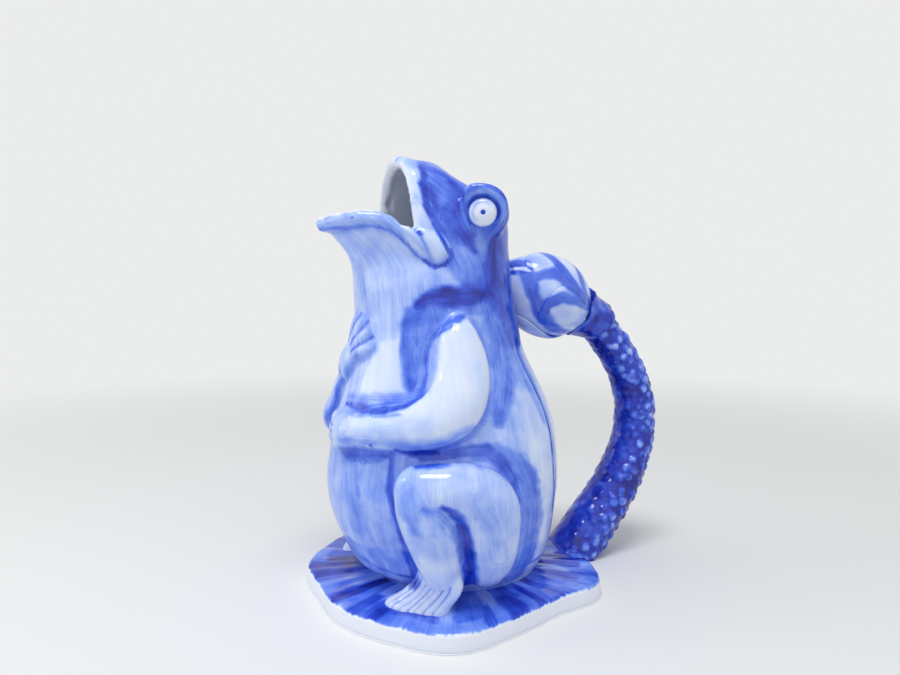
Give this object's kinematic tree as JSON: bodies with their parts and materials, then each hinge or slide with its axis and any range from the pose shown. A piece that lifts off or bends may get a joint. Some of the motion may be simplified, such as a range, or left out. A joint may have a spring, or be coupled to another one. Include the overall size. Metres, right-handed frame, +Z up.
{
  "type": "frog pitcher",
  "caption": "Hollow ceramic pitcher shaped as a squatting frog on a lily pad; it pours through the open mouth and is held by a knobbly stem handle that ends in a lily bud.",
  "frame": {"origin": "on the table, at the flat underside of the lily pad, below the axis of the body", "axes": "+Z up; the frog faces -Y, its left side is +X, and the handle is behind it at +Y"},
  "size_m": [0.162, 0.2214, 0.2373],
  "materials": {
    "pale_wash_glaze": "clear gloss over a pale cobalt wash",
    "cobalt_glaze": "clear gloss over streaky cobalt brushwork",
    "pale_lip_glaze": "clear gloss over a thin cobalt wash",
    "white_glaze": "clear gloss on white"
  },
  "bodies": {
    "root": {"lily_pad": "cobalt_glaze", "body_shell": "pale_wash_glaze", "head_shell": "cobalt_glaze", "lower_lip": "pale_lip_glaze", "upper_lip": "pale_lip_glaze", "left_eyeball": "white_glaze", "right_eyeball": "white_glaze", "left_eyelid": "cobalt_glaze", "right_eyelid": "cobalt_glaze", "left_arm": "pale_wash_glaze", "right_arm": "pale_wash_glaze", "left_hand": "pale_wash_glaze", "right_hand": "pale_wash_glaze", "left_thigh": "pale_wash_glaze", "right_thigh": "pale_wash_glaze", "left_shin": "pale_wash_glaze", "right_shin": "pale_wash_glaze", "left_foot": "pale_wash_glaze", "right_foot": "pale_wash_glaze", "handle_stem": "cobalt_glaze", "bud_calyx": "cobalt_glaze", "bud_core": "white_glaze", "bud_petal_1": "white_glaze", "bud_petal_2": "white_glaze", "bud_petal_3": "white_glaze", "bud_petal_4": "white_glaze", "bud_petal_5": "white_glaze"}
  },
  "joints": []
}
